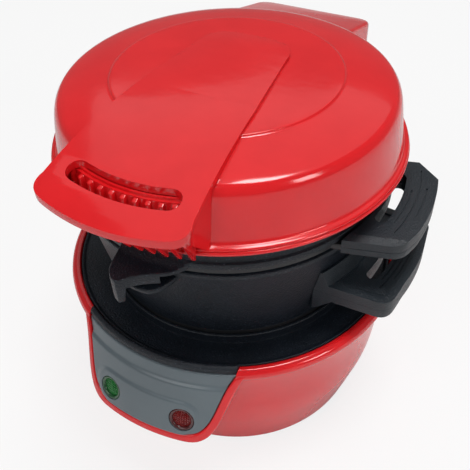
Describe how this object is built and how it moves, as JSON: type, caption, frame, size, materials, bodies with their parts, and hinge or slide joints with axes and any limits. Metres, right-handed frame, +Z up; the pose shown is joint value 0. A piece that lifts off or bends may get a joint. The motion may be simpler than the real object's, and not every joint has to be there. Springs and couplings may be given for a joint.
{
  "type": "hamburger maker",
  "caption": "Round countertop burger cooker: heated base and lid, two stacked rings with a swing-out plate between them, on one rear hinge pin.",
  "frame": {"origin": "on the table, under the middle of the whole object's bounding box", "axes": "+Z up, -Y towards the user, where the lid's handle and the control panel are; +X to the user's right, where the two side handles are"},
  "size_m": [0.169, 0.1888, 0.1733],
  "materials": {
    "red_plastic": "glossy moulded",
    "black_plastic": "fine textured moulded",
    "coated_aluminium": "dark non-stick coating, satin",
    "coated_plate": "dark non-stick coating, satin",
    "grey_panel": "satin moulded",
    "green_lens": "translucent ribbed lens",
    "red_lens": "translucent ribbed lens",
    "steel": "plain",
    "circuit_board": "laminate with lamps",
    "heatproof_moulding": "heat-resistant moulding",
    "rubber": "matte"
  },
  "bodies": {
    "base": {"base_housing": "red_plastic", "bottom_cover": "black_plastic", "foot_front_right": "rubber", "foot_rear_right": "rubber", "foot_rear_left": "rubber", "foot_front_left": "rubber", "cover_screw_1": "steel", "cover_screw_2": "steel", "cover_screw_3": "steel", "cover_screw_4": "steel", "control_panel": "grey_panel", "ready_light_lens": "green_lens", "power_light_lens": "red_lens", "light_board": "circuit_board", "tray_front_lip": "coated_aluminium", "drip_tray": "coated_aluminium", "lower_heating_plate": "coated_plate", "lower_heating_element": "steel", "lower_thermostat": "heatproof_moulding", "lower_heat_shield": "steel", "terminal_block": "heatproof_moulding", "cord_inlet_bushing": "rubber", "hinge_tower": "black_plastic", "tower_screw_1": "steel", "tower_screw_2": "steel", "hinge_pin": "steel"},
    "bottom_ring": {"bottom_ring": "coated_aluminium", "ring_handle_upper": "black_plastic", "ring_handle_lower": "black_plastic", "ring_handle_screw_1": "steel", "ring_handle_screw_2": "steel"},
    "top_ring": {"top_ring": "coated_aluminium", "plate_pivot_pin": "steel"},
    "cooking_plate": {"cooking_plate": "coated_plate", "plate_handle_upper": "black_plastic", "plate_handle_lower": "black_plastic", "plate_handle_screw_1": "steel", "plate_handle_screw_2": "steel"},
    "lid": {"lid_shell": "red_plastic", "lid_handle": "red_plastic", "handle_grille": "red_plastic", "rear_cover": "red_plastic", "lid_liner": "black_plastic", "liner_screw_1": "steel", "liner_screw_2": "steel", "liner_screw_3": "steel", "liner_screw_4": "steel", "upper_heating_plate": "coated_plate", "upper_heating_element": "steel", "upper_thermostat": "heatproof_moulding", "upper_heat_cap": "steel", "lid_hinge_bracket": "steel", "bracket_screw_1": "steel", "bracket_screw_2": "steel"}
  },
  "joints": [
    {"name": "bottom_ring_hinge", "type": "hinge", "parent": "base", "child": "bottom_ring", "pos_m": [-0.0045, 0.08195, 0.1285], "axis": [-1, 0, 0], "range_deg": [0, 18]},
    {"name": "top_ring_hinge", "type": "hinge", "parent": "bottom_ring", "child": "top_ring", "pos_m": [-0.0045, 0.08195, 0.1285], "axis": [-1, 0, 0], "range_deg": [0, 18]},
    {"name": "lid_hinge", "type": "hinge", "parent": "top_ring", "child": "lid", "pos_m": [-0.0045, 0.08195, 0.1285], "axis": [-1, 0, 0], "range_deg": [0, 69]},
    {"name": "cooking_plate_swing", "type": "hinge", "parent": "top_ring", "child": "cooking_plate", "pos_m": [0.0316, 0.06048, 0.1255], "axis": [0, 0, 1], "range_deg": [0, 110]}
  ]
}
